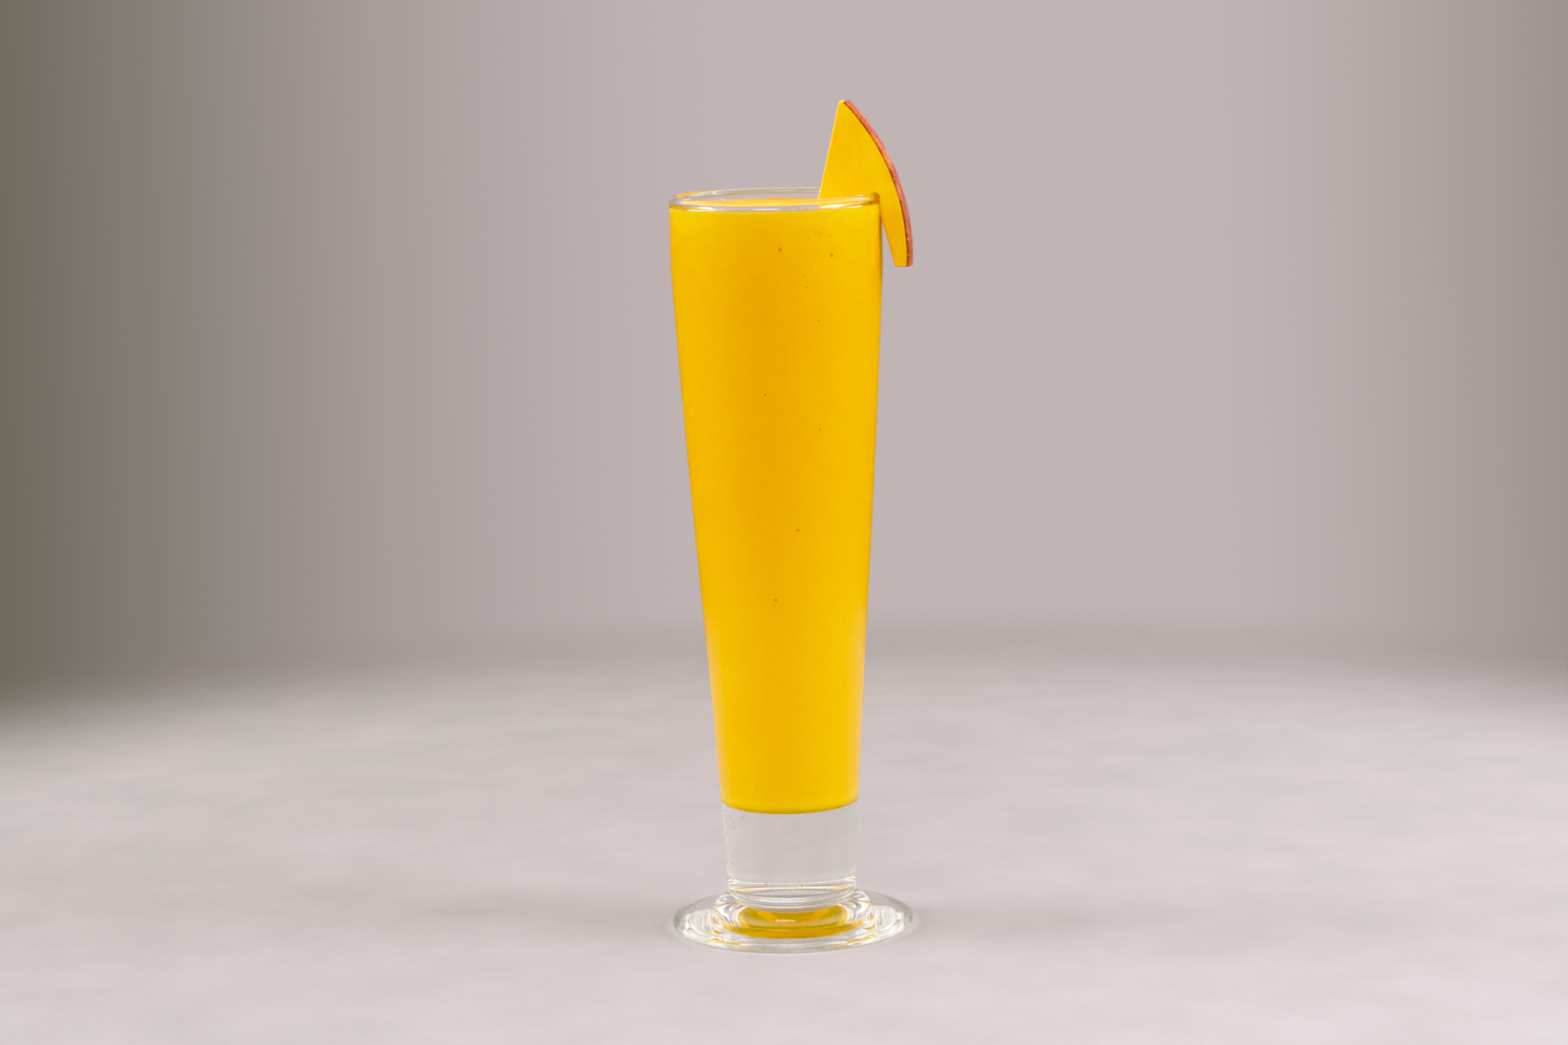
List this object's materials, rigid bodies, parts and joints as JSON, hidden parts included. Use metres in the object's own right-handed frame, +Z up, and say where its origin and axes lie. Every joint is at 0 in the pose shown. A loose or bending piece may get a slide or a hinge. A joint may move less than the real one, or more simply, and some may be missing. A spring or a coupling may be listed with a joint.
{
  "type": "mango smoothie in a footed glass",
  "caption": "Mango smoothie in a tall clear tapered glass on a round foot, with a slit wedge of mango, skin on, hung on the rim. It stands on its foot.",
  "frame": {"origin": "centre of the foot's underside, on the plane that the glass stands on", "axes": "+Z up along the axis of the glass, +X towards the side of the rim that carries the mango wedge, -Y towards the wedge's shown cut face"},
  "size_m": [0.0817, 0.0776, 0.2636],
  "materials": {
    "clear_glass": "clear, smooth, very slightly green, with a fire-polished rim",
    "mango_smoothie": "opaque, thick, smooth yellow drink with a few small bubbles and specks of pulp",
    "mango_flesh": "smooth, moist cut mango flesh with thin rosy skin on its outer side"
  },
  "bodies": {
    "root": {"glass": "clear_glass", "smoothie": "mango_smoothie", "mango_wedge": "mango_flesh"}
  },
  "joints": []
}
